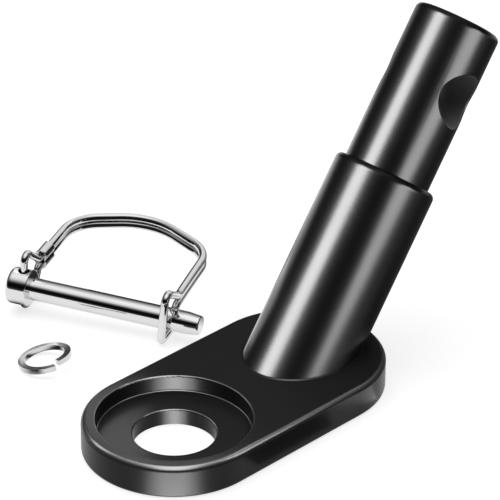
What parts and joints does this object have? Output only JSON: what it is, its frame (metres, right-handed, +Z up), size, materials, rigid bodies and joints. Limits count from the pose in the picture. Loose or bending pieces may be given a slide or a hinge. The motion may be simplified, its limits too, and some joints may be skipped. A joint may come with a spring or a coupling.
{
  "type": "bike trailer hitch",
  "caption": "Black coated axle plate with a leaning stepped post for a bicycle trailer's arm, with its wire-bail lock pin and spring washer laid beside it.",
  "frame": {"origin": "middle of the axle hole on the plate's underside, which lies on the floor", "axes": "+Z up along the axle hole, +X along the plate towards the post, +Y across the plate on the side where the lock pin lies"},
  "size_m": [0.0927, 0.0779, 0.0618],
  "materials": {
    "black_coating": "satin black coat",
    "bright_plating": "bright plated, polished",
    "spring_steel": "plain bright steel"
  },
  "bodies": {
    "hitch": {"hitch_plate": "black_coating", "hitch_post": "black_coating", "lock_pin": "bright_plating", "spring_washer": "spring_steel"},
    "bail": {"bail_wire": "bright_plating", "bail_ferrule": "bright_plating"}
  },
  "joints": [
    {"name": "bail_swing", "type": "hinge", "parent": "hitch", "child": "bail", "pos_m": [0.013, 0.05269, 0.005], "axis": [0.0136, -0.0299, 0.9995], "range_deg": [0, 110], "deforming": ["bail_wire"]}
  ]
}
